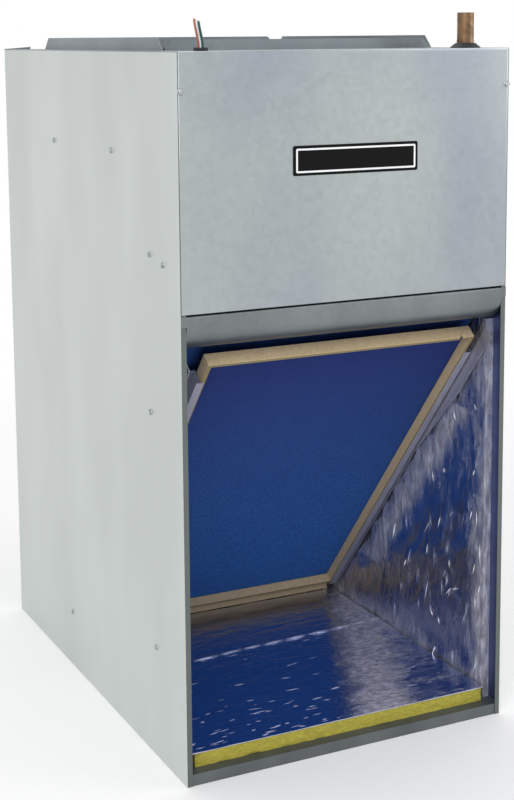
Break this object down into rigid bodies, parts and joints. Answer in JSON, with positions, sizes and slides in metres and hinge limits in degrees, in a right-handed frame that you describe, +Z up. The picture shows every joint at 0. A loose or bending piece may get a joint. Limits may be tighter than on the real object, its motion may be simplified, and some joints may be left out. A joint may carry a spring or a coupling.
{
  "type": "air handler",
  "caption": "Upright galvanised air handler: slanted return filter and slab coil in an open lower bay, blower above, flanged supply opening in the top.",
  "frame": {"origin": "centre of the base at the floor", "axes": "+Z up; the open front faces -Y; +X to the viewer's right from the front"},
  "size_m": [0.4748, 0.6884, 0.96],
  "materials": {
    "galvanised_side": "galvanised, matt",
    "galvanised_front": "galvanised, mottled satin",
    "galvanised": "galvanised, satin",
    "shaded_steel": "galvanised, satin",
    "zinc_screw": "zinc plated",
    "nameplate_black": "black with a silver line",
    "foil": "glass wool with a wrinkled foil facing",
    "foil_floor": "yellow glass wool with a creased foil facing",
    "filter_board": "plain board",
    "filter_blue": "woven fibre mat",
    "fin_aluminium": "thin fins",
    "copper": "copper, slightly oxidised",
    "brass": "turned brass",
    "black_plastic": "moulded",
    "shaft_steel": "ground steel",
    "motor_paint": "black paint",
    "cast_metal": "cast",
    "winding": "varnished copper windings",
    "board_green": "circuit board",
    "component_black": "moulded components",
    "terminal_cream": "moulded",
    "rubber_black": "rubber",
    "wire_brown": "wire insulation",
    "wire_white": "wire insulation",
    "wire_green": "wire insulation",
    "wire_grey": "wire insulation"
  },
  "bodies": {
    "cabinet": {"left_side_panel": "galvanised_side", "right_side_panel": "galvanised_side", "back_panel": "galvanised", "bottom_pan": "shaded_steel", "top_panel": "galvanised", "header_rail": "shaded_steel", "side_screws": "zinc_screw", "lining_left": "foil", "lining_right": "foil", "lining_back": "foil", "lining_floor": "foil_floor", "filter_rail_left": "galvanised", "filter_rail_right": "galvanised", "filter_stop": "galvanised", "coil_fins": "fin_aluminium", "coil_tubes": "copper", "coil_return_bends": "copper", "coil_end_plate_left": "galvanised", "coil_end_plate_right": "galvanised", "coil_top_baffle": "galvanised", "suction_header": "copper", "suction_line": "copper", "liquid_line": "copper", "distributor": "brass", "feeder_tubes": "copper", "drain_pan": "black_plastic", "drain_fittings": "black_plastic", "blower_deck": "galvanised", "plenum_front": "galvanised", "blower_wrap": "galvanised", "blower_sides": "galvanised", "motor_shell": "motor_paint", "motor_end_bells": "cast_metal", "motor_stator": "winding", "motor_bearings": "brass", "motor_mount": "galvanised", "housing_bolts": "zinc_screw", "control_box": "galvanised", "control_board": "board_green", "board_parts": "component_black", "transformer": "component_black", "terminal_block": "terminal_cream", "run_capacitor": "cast_metal", "capacitor_strap": "galvanised", "wire_bushing": "rubber_black", "suction_grommet": "rubber_black", "liquid_grommet": "rubber_black", "lead_brown": "wire_brown", "lead_white": "wire_white", "lead_green": "wire_green", "inner_leads": "wire_grey"},
    "front_panel": {"front_access_panel": "galvanised_front", "nameplate": "nameplate_black", "panel_screws": "zinc_screw", "panel_lining": "foil"},
    "filter": {"filter_frame": "filter_board", "filter_media": "filter_blue"},
    "rotor": {"blower_wheel": "galvanised", "motor_shaft": "shaft_steel", "motor_rotor": "shaft_steel"}
  },
  "joints": [
    {"name": "panel_pull", "type": "slide", "parent": "cabinet", "child": "front_panel", "axis": [0, -1, 0], "range_m": [0, 0.25]},
    {"name": "filter_slide", "type": "slide", "parent": "cabinet", "child": "filter", "axis": [0, -0.6427, 0.7661], "range_m": [0, 0.014]},
    {"name": "blower_spin", "type": "hinge", "parent": "cabinet", "child": "rotor", "pos_m": [0, 0.087, 0.625], "axis": [1, 0, 0], "continuous": true}
  ]
}
